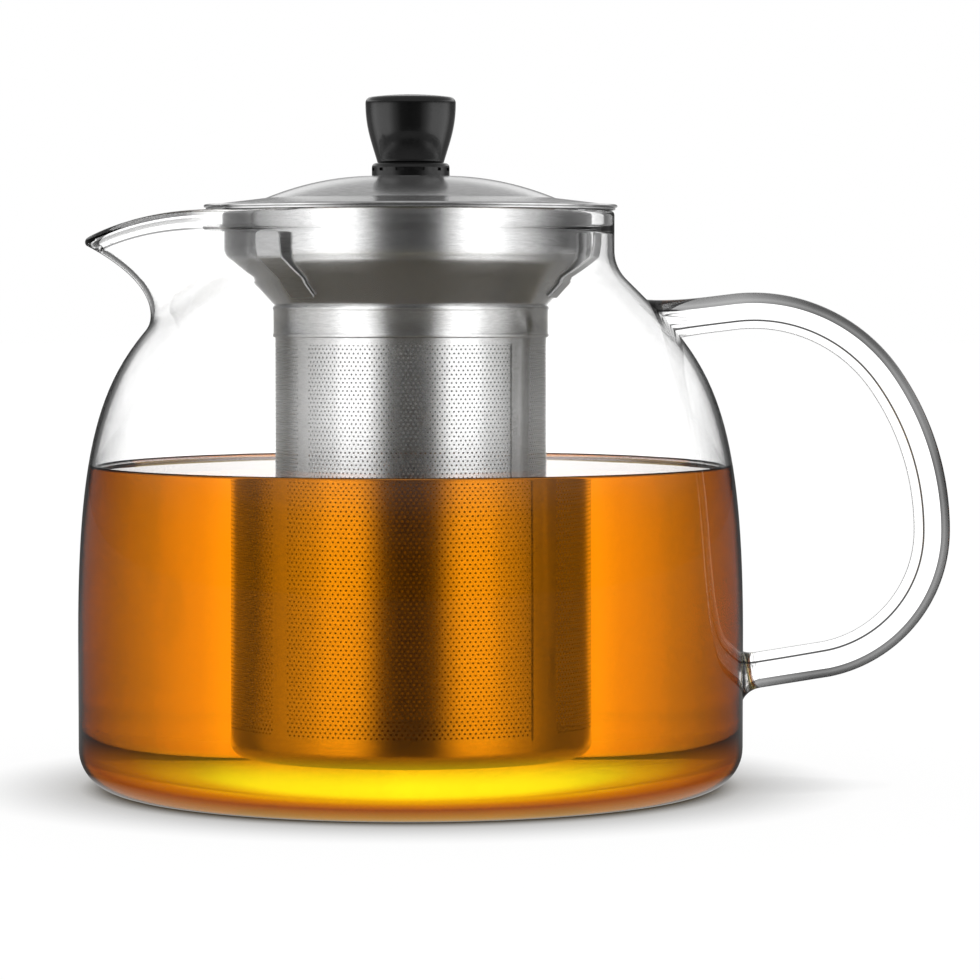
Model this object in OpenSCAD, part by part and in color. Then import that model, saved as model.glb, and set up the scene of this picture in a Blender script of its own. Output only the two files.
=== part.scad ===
// Glass teapot with a lift-out steel infuser and a steel lid.
// Origin: centre of the base. +Z up, +X towards the handle, -X towards the spout.

/* [Glass body] */
// Largest outer radius of the body
body_r = 66.4; // [62:0.2:72]
// Height of the rim above the table
rim_z = 115; // [108:0.5:125]
// Thickness of the blown wall
glass_wall = 1.3; // [1.1:0.1:1.8]
// Thickness of the base
glass_base = 2.2; // [1.6:0.1:3.5]
// Radius of the rounded heel
heel_r = 8; // [5:0.5:12]
// Height at which the side starts to curve in
side_z = 30; // [22:1:40]

/* [Glass neck] */
// Outer radius of the neck
neck_r = 40.6; // [39:0.1:43]
// Height of the straight neck, bead included
neck_h = 8; // [6.5:0.25:10]
// Radius of the hollow curve from shoulder to neck
neck_curve_r = 8; // [5:0.5:10]
// Height of the bead around the rim
bead_h = 3.4; // [2.4:0.2:4.4]
// Thickness of the bead around the rim
bead_t = 2; // [1.7:0.1:2.3]

/* [Spout] */
// Distance of the spout's tip from the body axis
spout_reach = 65.7; // [60:0.5:72]
// How far the tip lies below the rim
spout_drop = 6; // [4:0.5:8]
// Angle from the spout's middle at which it has sunk to a third
spout_angle = 16; // [12:1:20]
// Height of the spout's underside above its root, at the tip
spout_rise = 20; // [16:0.5:22]

/* [Handle] */
// Diameter of the glass rod
rod_d = 7.2; // [6:0.2:8.4]
// Distance of the outermost rod centre from the body axis
handle_reach = 104.2; // [98:0.2:112]
// Height of the outermost rod centre
handle_z = 51; // [46:0.5:54]
// Radius of the lower bend
lower_bend_r = 26.2; // [22:0.2:27]
// Radius of the back of the handle above its outermost point
back_r = 53; // [50:0.5:58]
// Angle of the back before the upper bend starts
back_angle = 35; // [30:1:38]
// Radius of the upper bend
upper_bend_r = 32; // [28:0.5:34]
// Slope of the rod where it meets the shoulder
upper_slope = 7; // [3:1:10]
// Slope of the rod where it meets the foot of the wall
lower_slope = 9; // [6:1:11]
// Radius of the lower weld on the wall
lower_weld_r = 7.2; // [6:0.2:8]
// Length of the lower weld
lower_weld_l = 4.4; // [3:0.2:6]
// Radius of the upper weld inside the wall
upper_weld_r = 6; // [5:0.2:7]
// Length of the upper weld
upper_weld_l = 15; // [12:0.5:18]

/* [Infuser] */
// Thickness of the infuser's steel sheet
sheet_t = 0.5; // [0.4:0.1:0.7]
// Outer radius of the flange that lies on the rim
flange_r = 40.8; // [40:0.1:42]
// Outer radius of the funnel's straight part
funnel_r = 36.1; // [35.6:0.1:36.8]
// Height of the funnel's straight part
funnel_h = 5.8; // [5:0.2:8]
// Radius of the bend under the flange
flange_bend_r = 1.4; // [1:0.1:2]
// Radius of the funnel's shoulder
shoulder_r = 6; // [4:0.5:8]
// Slope of the funnel's cone
cone_angle = 47; // [44:1:50]
// Outer radius of the strainer tube
strainer_r = 27.1; // [26:0.1:28]
// Height of the band between funnel and tube
band_h = 6; // [4:0.2:8]
// Height of the infuser's underside above the table
strainer_foot_z = 7; // [5.5:0.25:10]
// Height of the cup that closes the tube
cup_h = 5; // [4:0.25:7]
// Radius of the cup's rounded edge
cup_edge_r = 3; // [2:0.25:3.5]
// Height of the weld lap above the tube's wall
lap_t = 0.25; // [0.2:0.05:0.4]

/* [Spring clips] */
// Width of a clip
clip_w = 6.5; // [5:0.25:8]
// Thickness of a clip
clip_t = 0.45; // [0.35:0.05:0.6]
// Clearance between a clip and the bead of the rim
clip_gap = 0.6; // [0.3:0.05:1]
// Length of the foot that is welded to the cone
clip_foot = 3.5; // [2.5:0.25:4]
// Height of the straight tab at a clip's end
clip_tab_h = 5.6; // [4:0.2:6]
// Clearance between a clip's foot and the cone
weld_gap = 0.05; // [0.02:0.01:0.08]

/* [Lid] */
// Thickness of the lid's steel sheet
lid_t = 0.6; // [0.5:0.1:0.8]
// Outer radius of the brim
brim_r = 41.2; // [40.4:0.1:43]
// Width of the brim's flat edge
brim_flat = 1.6; // [1.2:0.1:2.4]
// Radius of the crease between brim and dome
dome_r = 28.8; // [26:0.2:31]
// Rise of the brim from its flat edge to the crease
brim_rise = 1.3; // [0.8:0.1:2]
// Rise of the dome above the crease
dome_rise = 4.4; // [3:0.2:6]
// Depth of the skirt below the brim's flat edge
skirt_h = 6.5; // [4:0.5:9]
// Clearance of the skirt inside the funnel
skirt_gap = 0.5; // [0.4:0.1:0.7]

/* [Knob] */
// Height of the ring under the knob, on the axis
collar_h = 2.6; // [2.2:0.2:4]
// Radius of the ring under the knob
collar_r = 7.75; // [7:0.25:9]
// Number of vent slots around the ring
vents = 12; // [8:1:14]
// Height of the knob
knob_h = 13.6; // [12:0.2:16]
// Radius of the knob at its top
knob_top_r = 9; // [8.4:0.2:10]
// Radius of the knob at its foot
knob_foot_r = 6.7; // [6:0.1:7.2]
// Diameter of the screw
screw_d = 4; // [3:0.5:4.5]
// Clearance around the screw in the lid and the ring
screw_gap = 0.2; // [0.1:0.05:0.4]
// Length of the threaded insert in the knob
insert_l = 8; // [6:0.5:9]
// Wall of the threaded insert
insert_wall = 1.2; // [1:0.1:1.4]
// Thickness of the washer
washer_t = 0.8; // [0.6:0.1:1.2]
// Width of the washer's ring
washer_w = 2.8; // [2:0.1:3.2]

/* [Hidden] */
$fn = 96;

// Steps along a drawn curve
CURVE_STEPS = 14;
// Steps along a small rounded edge
EDGE_STEPS = 5;
// Small overlap that keeps cuts and joined solids clean
OVERLAP = 0.2;
// Angle of the shoulder where the neck's curve starts
NECK_TURN = 45;
// How far the side keeps upright from below, and the neck's slope from above, as shares of the side's height
SIDE_PULL = 0.7;
NECK_PULL = 0.3;

neck_curve_z = rim_z - neck_h;
flange_top = rim_z + sheet_t;
funnel_end_z = rim_z - flange_bend_r - funnel_h;

// ---- Curves in the plane ----

// Points of a cubic curve with two control points
function curve(a, b, c, d, steps = CURVE_STEPS) =
    [for (i = [0:steps]) let (t = i / steps, s = 1 - t)
        a * s * s * s + b * 3 * t * s * s + c * 3 * t * t * s + d * t * t * t];

// Points of an arc about a centre
function arc(centre, r, from, to, steps = EDGE_STEPS) =
    [for (i = [0:steps]) let (a = from + (to - from) * i / steps)
        centre + r * [cos(a), sin(a)]];

function reversed(list) = [for (i = [len(list) - 1:-1:0]) list[i]];
function along(list, i) = let (d = list[i + 1] - list[i]) d / norm(d);
function left_of(d) = [-d.y, d.x];

// Direction in which a sheet gains its thickness at point i of its path
function sheet_normal(path, i) =
    let (last = len(path) - 1,
         a = left_of(along(path, max(i - 1, 0))),
         b = left_of(along(path, min(i, last - 1))))
    (a + b) / (1 + a * b);

// A path and its copy one thickness to the left, as one closed outline
function sheet_outline(path, t) =
    concat(path, reversed([for (i = [0:len(path) - 1]) path[i] + t * sheet_normal(path, i)]));

// ---- Glass body ----

// Outline of the body, shrunk by one wall for the inside
function body_outline(inset, floor_z) =
    let (r = body_r - inset,
         bend = neck_curve_r + inset,
         centre = [neck_r + neck_curve_r, neck_curve_z],
         heel = heel_r - inset,
         low = [r, side_z],
         high = centre - bend * [cos(NECK_TURN), sin(NECK_TURN)],
         pull = SIDE_PULL * (high.y - low.y),
         lean = NECK_PULL * (high.y - low.y) * [cos(NECK_TURN), -sin(NECK_TURN)])
    concat(
        [[0, floor_z]],
        arc([r - heel, floor_z + heel], heel, -90, 0, CURVE_STEPS),
        curve(low, low + [0, pull], high + lean, high, 2 * CURVE_STEPS),
        reversed(arc(centre, bend, 180, 180 + NECK_TURN)));

// Solid body with its neck
module body_outside() {
    round_r = bead_t / 2;
    rotate_extrude()
        polygon(concat(
            body_outline(0, 0),
            arc([neck_r - round_r, rim_z - round_r], round_r, 0, 90),
            [[0, rim_z]]));
}

// Space inside the body, open at the top
module body_inside() {
    bead_in_r = neck_r - bead_t;
    round_r = bead_t / 2;
    rotate_extrude()
        polygon(concat(
            body_outline(glass_wall, glass_base),
            [[neck_r - glass_wall, rim_z - bead_h - (bead_t - glass_wall)],
             [bead_in_r, rim_z - bead_h]],
            arc([neck_r - round_r, rim_z - round_r], round_r, 180, 90),
            [[neck_r - round_r, rim_z + OVERLAP], [0, rim_z + OVERLAP]]));
}

// ---- Spout ----

// Radius of the body's outline at a height above the belly
function outline_r(points, z) =
    let (i = [for (k = [0:len(points) - 2]) if (points[k].y <= z && z < points[k + 1].y) k])
    len(i) == 0 ? points[len(points) - 1].x :
    let (a = points[i[0]], b = points[i[0] + 1]) a.x + (b.x - a.x) * (z - a.y) / (b.y - a.y);

// How much of the spout's reach is left at an angle from its middle
function spout_share(angle) = exp(-pow(angle / spout_angle, 2));

// Solid beak: each angle has a column of points from the shoulder to the edge, and with headroom
// one more point above the rim, so that the beak is cut open all the way up
module spout_solid(inset, headroom) {
    // Half width of the beak's solid, in spout angles
    SPREAD = 2.7;
    // How late the edge starts to fall towards the tip
    EDGE_POWER = 2.2;
    COLUMNS = 36;
    ROWS = 14;
    // How far the beak's faces start inside the body's own wall
    BURY = 2 * OVERLAP;
    // The underside's curve, in shares of its rise: how far and how high up it draws in above the root,
    // how high up it flares, and the height and overhang of the drip lip at the tip
    DRAW_IN = 0.23;
    DRAW_IN_Z = 0.32;
    FLARE_Z = 0.66;
    LIP_H = 0.05;
    LIP_OUT = 0.03;
    outline = body_outline(inset, glass_base);
    tip_z = rim_z - spout_drop;
    root_z = tip_z - spout_rise;
    root = outline_r(outline, root_z) - BURY;
    reach = spout_reach - inset;
    profile = curve([root, root_z],
                    [root - DRAW_IN * spout_rise, root_z + DRAW_IN_Z * spout_rise],
                    [root, root_z + FLARE_Z * spout_rise],
                    [reach - LIP_OUT * spout_rise, tip_z - LIP_H * spout_rise], ROWS - 1);
    edge = concat(profile, [[reach, tip_z]]);
    function column(k) =
        let (angle = SPREAD * spout_angle * (2 * k / COLUMNS - 1),
             share = spout_share(angle),
             edge_z = rim_z - spout_drop * pow(share, EDGE_POWER),
             points = [for (p = edge)
                 let (z = root_z + (edge_z - root_z) * (p.y - root_z) / (tip_z - root_z),
                      bulge = max(p.x - outline_r(outline, p.y), 0) * share)
                     [outline_r(outline, z) - BURY + bulge, z]],
             end = points[len(points) - 1])
        [for (p = concat(points, headroom > 0 ? [[end.x, rim_z + headroom]] : []))
            [-p.x * cos(angle), -p.x * sin(angle), p.y]];
    grid = [for (k = [0:COLUMNS]) column(k)];
    n = len(grid[0]);
    outer = [for (c = grid) for (p = c) p];
    axis = [[0, 0, root_z], [0, 0, rim_z + headroom]];
    function id(k, j) = k * n + j;
    low = len(outer);
    high = low + 1;
    polyhedron(
        concat(outer, axis),
        concat(
            [for (k = [0:COLUMNS - 1]) for (j = [0:n - 2]) [id(k, j), id(k, j + 1), id(k + 1, j + 1)]],
            [for (k = [0:COLUMNS - 1]) for (j = [0:n - 2]) [id(k, j), id(k + 1, j + 1), id(k + 1, j)]],
            [for (k = [0:COLUMNS - 1]) [low, id(k, 0), id(k + 1, 0)]],
            [for (k = [0:COLUMNS - 1]) [high, id(k + 1, n - 1), id(k, n - 1)]],
            [concat([low, high], [for (j = [n - 1:-1:0]) id(0, j)])],
            [concat([high, low], [for (j = [0:n - 1]) id(COLUMNS, j)])]));
}

module glass_vessel() {
    color([0.85, 0.92, 0.93, 0.5])
        difference() {
            union() {
                body_outside();
                spout_solid(0, 0);
            }
            body_inside();
            spout_solid(bead_t, 2 * OVERLAP);
        }
}

// ---- Handle ----

// Centres and ends of the rod's bends, in the plane of the handle
back_centre = [handle_reach - back_r, handle_z];
back_end = back_centre + back_r * [cos(back_angle), sin(back_angle)];
upper_centre = back_end - upper_bend_r * [cos(back_angle), sin(back_angle)];
upper_turn = 90 + upper_slope;
upper_end = upper_centre + upper_bend_r * [cos(upper_turn), sin(upper_turn)];
lower_centre = [handle_reach - lower_bend_r, handle_z];
lower_turn = lower_slope - 90;
lower_end = lower_centre + lower_bend_r * [cos(lower_turn), sin(lower_turn)];

// A station along the rod: its centre, the direction that the rod runs in, and its radius
function station(point, heading, r) = [point, heading, r];

// Stations along a bend, without its first one
function bend_stations(centre, r, from, to) =
    [for (i = [1:CURVE_STEPS]) let (a = from + (to - from) * i / CURVE_STEPS)
        station(centre + r * [cos(a), sin(a)], a + 90, rod_d / 2)];

// Stations from the end of the rod's straight part into the wall, widening over the weld
function end_stations(point, heading, length, weld_r, weld_l) =
    [for (i = [0:CURVE_STEPS]) let (a = 90 * i / CURVE_STEPS)
        station(point + (length - weld_l * (1 - sin(a))) * [cos(heading), sin(heading)],
                heading, weld_r - (weld_r - rod_d / 2) * cos(a))];

// Solid through rings of points around the stations, in the plane of the handle
module rod(stations) {
    RING = 24;
    last = len(stations) - 1;
    points = [for (s = stations) for (k = [0:RING - 1])
        let (a = 360 * k / RING, side = s[2] * cos(a))
            [s[0].x - side * sin(s[1]), s[2] * sin(a), s[0].y + side * cos(s[1])]];
    function id(i, k) = i * RING + k % RING;
    polyhedron(points, concat(
        [for (i = [0:last - 1]) for (k = [0:RING - 1]) [id(i, k), id(i + 1, k), id(i + 1, k + 1)]],
        [for (i = [0:last - 1]) for (k = [0:RING - 1]) [id(i, k), id(i + 1, k + 1), id(i, k + 1)]],
        [[for (k = [0:RING - 1]) k]],
        [[for (k = [RING - 1:-1:0]) id(last, k)]]));
}

module glass_handle() {
    // How far the rod's lower end runs into the wall before it is trimmed
    bury = glass_wall / 2;
    lower_length = (lower_end.x - body_r) / cos(lower_slope) + bury;
    upper_length = (upper_end.x - neck_r - neck_curve_r / 2) / cos(upper_slope);
    // The rod runs from the lower weld round the back to the upper weld
    lower_part = end_stations(lower_end, lower_turn - 90, lower_length, lower_weld_r, lower_weld_l);
    stations = concat(
        [for (s = reversed(lower_part)) station(s[0], s[1] + 180, s[2])],
        bend_stations(lower_centre, lower_bend_r, lower_turn, 0),
        bend_stations(back_centre, back_r, 0, back_angle),
        bend_stations(upper_centre, upper_bend_r, back_angle, upper_turn),
        end_stations(upper_end, upper_turn + 90, upper_length, upper_weld_r, upper_weld_l));
    color([0.9, 0.94, 0.95, 0.6])
        difference() {
            rod(stations);
            body_outside();
        }
}

// ---- Infuser ----

STEEL = [0.72, 0.73, 0.74];

// Upper end of the cone, where the funnel's shoulder starts
shoulder_centre = [funnel_r - shoulder_r, funnel_end_z];
cone_top = shoulder_centre + shoulder_r * [sin(cone_angle), -cos(cone_angle)];
band_top_z = cone_top.y - (cone_top.x - strainer_r) * tan(cone_angle);
tube_top_z = band_top_z - band_h / 2;
cup_top_z = strainer_foot_z + cup_h;
function cone_point(r) = [r, band_top_z + (r - strainer_r) * tan(cone_angle)];

// A sheet turned about the axis, its thickness to the left of the path
module spun(path, t) {
    rotate_extrude() polygon(sheet_outline(path, t));
}

module infuser_collar() {
    bend_centre = [funnel_r + flange_bend_r, rim_z - flange_bend_r];
    color(STEEL)
        spun(concat(
            [[strainer_r, tube_top_z], cone_point(strainer_r)],
            arc(shoulder_centre, shoulder_r, cone_angle - 90, 0, 2 * EDGE_STEPS),
            reversed(arc(bend_centre, flange_bend_r, 90, 180)),
            [[flange_r, rim_z]]), sheet_t);
}

module collar_band() {
    low_z = band_top_z - band_h;
    color(STEEL)
        rotate_extrude()
            translate([strainer_r, low_z]) square([sheet_t, band_h]);
}

module strainer_tube() {
    // Place and width of the weld lap, seen from above
    lap_from = -43;
    lap_angle = 12;
    // Gap between the lap's upper end and the band
    lap_gap = 1;
    lap_top_z = band_top_z - band_h - lap_gap;
    color(STEEL)
        union() {
            rotate_extrude()
                translate([strainer_r - sheet_t, cup_top_z]) square([sheet_t, tube_top_z - cup_top_z]);
            rotate([0, 0, lap_from])
                rotate_extrude(angle = lap_angle)
                    translate([strainer_r - sheet_t / 2, cup_top_z])
                        square([sheet_t / 2 + lap_t, lap_top_z - cup_top_z]);
        }
}

module strainer_base() {
    color(STEEL)
        spun(concat(
            [[0, strainer_foot_z]],
            arc([strainer_r - cup_edge_r, strainer_foot_z + cup_edge_r], cup_edge_r, -90, 0),
            [[strainer_r, cup_top_z]]), sheet_t);
}

// ---- Spring clips ----

// Angle by which the arm stands off the cone
ARM_OPEN = 4;
// Gap along the cone between the band and a clip's foot
FOOT_GAP = 1.2;
// Places of the three clips around the axis
FRONT_CLIP_ANGLE = -15;
LEFT_CLIP_ANGLE = FRONT_CLIP_ANGLE - 120;
BACK_CLIP_ANGLE = FRONT_CLIP_ANGLE + 120;

cone_out = [sin(cone_angle), -cos(cone_angle)];
clip_foot_low = cone_point(strainer_r + sheet_t + FOOT_GAP) + weld_gap * cone_out;
clip_foot_high = clip_foot_low + clip_foot * [cos(cone_angle), sin(cone_angle)];
clip_reach = neck_r - bead_t - clip_gap;
clip_in_r = clip_reach - clip_t;

module spring_clip(angle) {
    // How much further in the bend at the arm's end lies than the tab
    bend_in = 0.4;
    // Height of the bend in the tab above the arm's end
    bend_h = clip_tab_h / 2;
    corner_r = clip_w / 4;
    arm_angle = cone_angle - ARM_OPEN;
    arm_run = clip_in_r - bend_in - clip_foot_high.x;
    arm_end = clip_foot_high + arm_run * [1, tan(arm_angle)];
    tab_end_z = arm_end.y + clip_tab_h;
    path = [[clip_in_r, tab_end_z], [clip_in_r, arm_end.y + bend_h], arm_end, clip_foot_high, clip_foot_low];
    mask_low = clip_foot_low.y - clip_w;
    mask_h = tab_end_z - mask_low;
    color(STEEL)
        rotate([0, 0, angle])
            intersection() {
                rotate([90, 0, 0])
                    linear_extrude(height = clip_w, center = true)
                        polygon(sheet_outline(path, clip_t));
                translate([0, 0, mask_low])
                    rotate([90, 0, 90])
                        linear_extrude(height = clip_reach + clip_w)
                            polygon(concat(
                                [[-clip_w / 2, 0], [clip_w / 2, 0]],
                                arc([clip_w / 2 - corner_r, mask_h - corner_r], corner_r, 0, 90),
                                arc([corner_r - clip_w / 2, mask_h - corner_r], corner_r, 90, 180)));
            }
}

// ---- Lid ----

// How far the ring under the knob stands out past its seat on the dome
SEAT_LEDGE = 0.35;
seat_r = collar_r - SEAT_LEDGE;
crease_z = flange_top + brim_rise;
seat_under_z = crease_z + dome_rise;
seat_z = seat_under_z + lid_t;
hole_r = screw_d / 2 + screw_gap;

// Height of the brim's underside at a radius
function brim_under_z(r) =
    flange_top + brim_rise * (brim_r - brim_flat - r) / (brim_r - brim_flat - dome_r);

module lid_shell() {
    crest = [(seat_r + dome_r) / 2, seat_under_z];
    from = [seat_r, seat_under_z];
    to = [dome_r, crease_z];
    color(STEEL)
        spun(concat(
            [[hole_r, seat_under_z]],
            curve(from, from + (crest - from) * 2 / 3, to + (crest - to) * 2 / 3, to),
            [[brim_r - brim_flat, flange_top], [brim_r, flange_top]]), lid_t);
}

module lid_skirt() {
    outer = funnel_r - sheet_t - skirt_gap;
    inner = outer - lid_t;
    low_z = flange_top - skirt_h;
    color(STEEL)
        rotate_extrude()
            polygon([
                [inner, low_z], [outer, low_z],
                [outer, brim_under_z(outer)], [inner, brim_under_z(inner)]]);
}

// ---- Knob ----

BLACK = [0.06, 0.06, 0.07];
BRASS = [0.78, 0.66, 0.36];
knob_z = seat_z + collar_h;
insert_r = screw_d / 2 + insert_wall;
// Height and radius of the screw's pan head, in thread diameters
PAN_H = 0.6;
PAN_R = 0.95;
head_h = PAN_H * screw_d;
head_r = PAN_R * screw_d;

module knob_collar() {
    edge_r = 0.9;
    vent_w = 1.8;
    vent_h = 0.6;
    vent_depth = 0.5;
    color(BLACK)
        difference() {
            rotate_extrude()
                polygon(concat(
                    [[hole_r, seat_z], [collar_r, seat_z]],
                    arc([collar_r - edge_r, knob_z - edge_r], edge_r, 0, 90),
                    [[hole_r, knob_z]]));
            for (i = [0:vents - 1])
                rotate([0, 0, 360 * (i + 0.5) / vents])
                    translate([collar_r - vent_depth, -vent_w / 2, seat_z + collar_h / 2 - vent_h / 2])
                        cube([vent_depth + OVERLAP, vent_w, vent_h]);
        }
}

module knob() {
    foot_edge_r = 0.4;
    top_edge_r = 1.2;
    // Angle through which the top edge turns before the crown starts
    top_edge_turn = 80;
    crown = 0.5;
    // How far the flared side leaves the foot, out and up, and keeps upright below the top, in knob heights
    foot_out = 0.09;
    foot_up = 0.3;
    top_down = 0.35;
    top_z = knob_z + knob_h;
    side_top = [knob_top_r, top_z - crown - top_edge_r];
    side_foot = [knob_foot_r, knob_z + foot_edge_r];
    color(BLACK)
        difference() {
            rotate_extrude()
                polygon(concat(
                    [[0, knob_z]],
                    arc([knob_foot_r - foot_edge_r, knob_z + foot_edge_r], foot_edge_r, -90, 0),
                    curve(side_foot, side_foot + knob_h * [foot_out, foot_up],
                          side_top - [0, knob_h * top_down], side_top),
                    arc([knob_top_r - top_edge_r, top_z - crown - top_edge_r], top_edge_r, 0, top_edge_turn),
                    [[0, top_z]]));
            translate([0, 0, knob_z - OVERLAP]) cylinder(r = insert_r, h = insert_l + OVERLAP);
        }
}

module knob_insert() {
    color(BRASS)
        translate([0, 0, knob_z])
            difference() {
                cylinder(r = insert_r, h = insert_l);
                translate([0, 0, -OVERLAP]) cylinder(d = screw_d, h = insert_l + 2 * OVERLAP);
            }
}

module screw_washer() {
    color(STEEL)
        translate([0, 0, seat_under_z - washer_t])
            difference() {
                cylinder(r = hole_r + washer_w, h = washer_t);
                translate([0, 0, -OVERLAP]) cylinder(r = hole_r, h = washer_t + 2 * OVERLAP);
            }
}

module knob_screw() {
    head_top_z = seat_under_z - washer_t;
    // Free thread left above the screw's tip in the insert
    tip_gap = 1.5;
    edge_r = head_h / 2;
    slot_w = 0.8;
    // Length of the cross slot, a little over half of the head's width
    slot_l = 1.1 * head_r;
    slot_depth = head_h / 2;
    tip_z = knob_z + insert_l - tip_gap;
    color(STEEL)
        difference() {
            rotate_extrude()
                polygon(concat(
                    [[0, head_top_z - head_h]],
                    arc([head_r - edge_r, head_top_z - head_h + edge_r], edge_r, -90, 0),
                    [[head_r, head_top_z], [screw_d / 2, head_top_z], [screw_d / 2, tip_z], [0, tip_z]]));
            for (turn = [0, 90])
                rotate([0, 0, turn])
                    translate([-slot_l / 2, -slot_w / 2, head_top_z - head_h - OVERLAP])
                        cube([slot_l, slot_w, slot_depth + OVERLAP]);
        }
}

glass_vessel();
glass_handle();
infuser_collar();
collar_band();
strainer_tube();
strainer_base();
spring_clip(FRONT_CLIP_ANGLE);  // spring_clip_front
spring_clip(LEFT_CLIP_ANGLE);  // spring_clip_left
spring_clip(BACK_CLIP_ANGLE);  // spring_clip_back
lid_shell();
lid_skirt();
knob_collar();
knob();
knob_insert();
knob_screw();
screw_washer();
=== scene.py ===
"""Glass teapot with tea in it, a lift-out steel infuser and a lid with a black knob."""
import bisect
from math import acos, cos, exp, hypot, pi, radians, sin, sqrt, tan

import bmesh
import bpy
from mathutils import Matrix, Vector


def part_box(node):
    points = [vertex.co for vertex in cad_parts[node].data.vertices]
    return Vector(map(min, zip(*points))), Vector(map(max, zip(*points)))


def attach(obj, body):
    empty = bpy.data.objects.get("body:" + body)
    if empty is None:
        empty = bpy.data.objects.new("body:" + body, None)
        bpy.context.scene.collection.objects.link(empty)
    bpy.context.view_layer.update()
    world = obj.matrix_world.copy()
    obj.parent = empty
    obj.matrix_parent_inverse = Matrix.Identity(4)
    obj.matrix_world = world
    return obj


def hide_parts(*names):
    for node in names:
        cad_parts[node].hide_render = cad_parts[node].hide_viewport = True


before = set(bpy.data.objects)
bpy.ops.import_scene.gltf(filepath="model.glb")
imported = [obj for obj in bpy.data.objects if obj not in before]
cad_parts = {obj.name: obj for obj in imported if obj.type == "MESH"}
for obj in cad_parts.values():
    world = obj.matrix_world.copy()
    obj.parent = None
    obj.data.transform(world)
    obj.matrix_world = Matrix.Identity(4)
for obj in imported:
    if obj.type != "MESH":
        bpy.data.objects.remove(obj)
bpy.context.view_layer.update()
scene = bpy.context.scene
scene.view_settings.view_transform = "Standard"

# ---- Camera ----
# A long lens a hand's breadth above the table. It stands a little to the handle's side of the
# axis and is tilted down by a few degrees.

MM = 0.001
CAMERA_X, CAMERA_Y, CAMERA_Z = 15.8 * MM, -840 * MM, 100.8 * MM
CAMERA_TILT = radians(2.835)
lens = bpy.data.cameras.new("camera")
lens.sensor_width = 36
lens.lens = 154.5
camera = bpy.data.objects.new("camera", lens)
camera.location = (CAMERA_X, CAMERA_Y, CAMERA_Z)
camera.rotation_euler = (pi / 2 - CAMERA_TILT, 0, 0)
scene.collection.objects.link(camera)
scene.camera = camera

# ---- Studio ----
# A white table that runs back into a white room. Lit surfaces see an even dome, while steel and
# glass also see the room's dark gaps between its three tall softboxes.

WHITE = 1.0


def rgba(shade):
    """A shade of grey, or red, green and blue, as a colour socket takes it."""
    return (*shade, 1) if isinstance(shade, tuple) else (shade, shade, shade, 1)


def feed(tree, made, inputs):
    """Gives a node its inputs, each a value or the socket that feeds it."""
    for key, value in inputs.items():
        socket = made.inputs[key]
        if isinstance(value, bpy.types.NodeSocket):
            tree.links.new(value, socket)
        else:
            socket.default_value = rgba(value) if socket.type == "RGBA" else value


def node(tree, kind, inputs=None, **settings):
    """A shader node with its settings and inputs."""
    made = tree.nodes.new("ShaderNode" + kind)
    for key, value in settings.items():
        setattr(made, key, value)
    feed(tree, made, inputs or {})
    return made


def maths(tree, operation, *values):
    """The result of one sum on values or sockets."""
    return node(tree, "Math", dict(enumerate(values)), operation=operation).outputs[0]


def vectors(tree, operation, *values):
    """The result of one sum on vectors: a vector, or the number that a measure gives."""
    made = node(tree, "VectorMath", dict(enumerate(values)), operation=operation)
    return made.outputs["Value" if operation in ("LENGTH", "DOT_PRODUCT") else "Vector"]


def at_least(tree, depth, times):
    """1 for a ray that has passed or met at least so many surfaces, else 0."""
    return maths(tree, "GREATER_THAN", depth, times - 0.5)


def mapped(tree, value, low, high, to_low=0.0, to_high=1.0, **settings):
    """A number brought from one range into another."""
    inputs = {"Value": value, "From Min": low, "From Max": high, "To Min": to_low,
              "To Max": to_high}
    return node(tree, "MapRange", inputs, **settings).outputs[0]


def ramp(tree, factor, stops):
    """A colour that follows the factor through (place, colour) stops."""
    made = node(tree, "ValToRGB", {"Fac": factor})
    elements = made.color_ramp.elements
    elements.remove(elements[1])
    elements[0].position, elements[0].color = stops[0][0], rgba(stops[0][1])
    for place, colour in stops[1:]:
        elements.new(place).color = rgba(colour)
    return made.outputs["Color"]


def mixed(tree, factor, first, second, blend="MIX"):
    """One colour over another by a factor."""
    return node(tree, "Mix", {0: factor, 6: first, 7: second}, data_type="RGBA",
                blend_type=blend).outputs[2]


def effect(name, inputs, outputs):
    """A node group that materials share, with its {name: kind} sockets, and its inputs."""
    made = bpy.data.node_groups.new(name, "ShaderNodeTree")
    for in_out, sockets in (("INPUT", inputs), ("OUTPUT", outputs)):
        for title, kind in sockets.items():
            made.interface.new_socket(title, in_out=in_out, socket_type="NodeSocket" + kind)
    return made, made.nodes.new("NodeGroupInput").outputs


def material(name):
    """A new material with its Principled shader."""
    made = bpy.data.materials.new(name)
    made.use_nodes = True
    return made, made.node_tree, made.node_tree.nodes["Principled BSDF"]


# Light around the pot by the angle from the front: what steel sees behind the glass, what steel
# and the knob see in the open, and what the outside of the glass mirrors
INNER_RING = (
    (-180, 1.4), (-170, 1.2), (-162, 0.3), (-140, 0.15), (-125, 0.08), (-108, 0.45), (-84, 0.75),
    (-68, 1.1), (-56, 1.7), (-36, 1.7), (-26, 0.8), (-18, 0.14), (-10, 0.02), (0, 0.01),
    (10, 0.02), (18, 0.14), (26, 0.8), (36, 1.7), (56, 1.7), (68, 1.0), (82, 0.65), (96, 0.25),
    (112, 0.08), (130, 0.15), (150, 0.15), (162, 0.3), (170, 1.2), (180, 1.4))
OPEN_RING = (
    (-180, 0.5), (-150, 0.1), (-125, 0.2), (-105, 1.2), (-60, 1.3), (-42, 0.5), (-25, 0.06),
    (0, 0.01), (25, 0.06), (42, 0.5), (60, 1.3), (105, 1.2), (125, 0.2), (150, 0.1), (180, 0.5))
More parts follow.
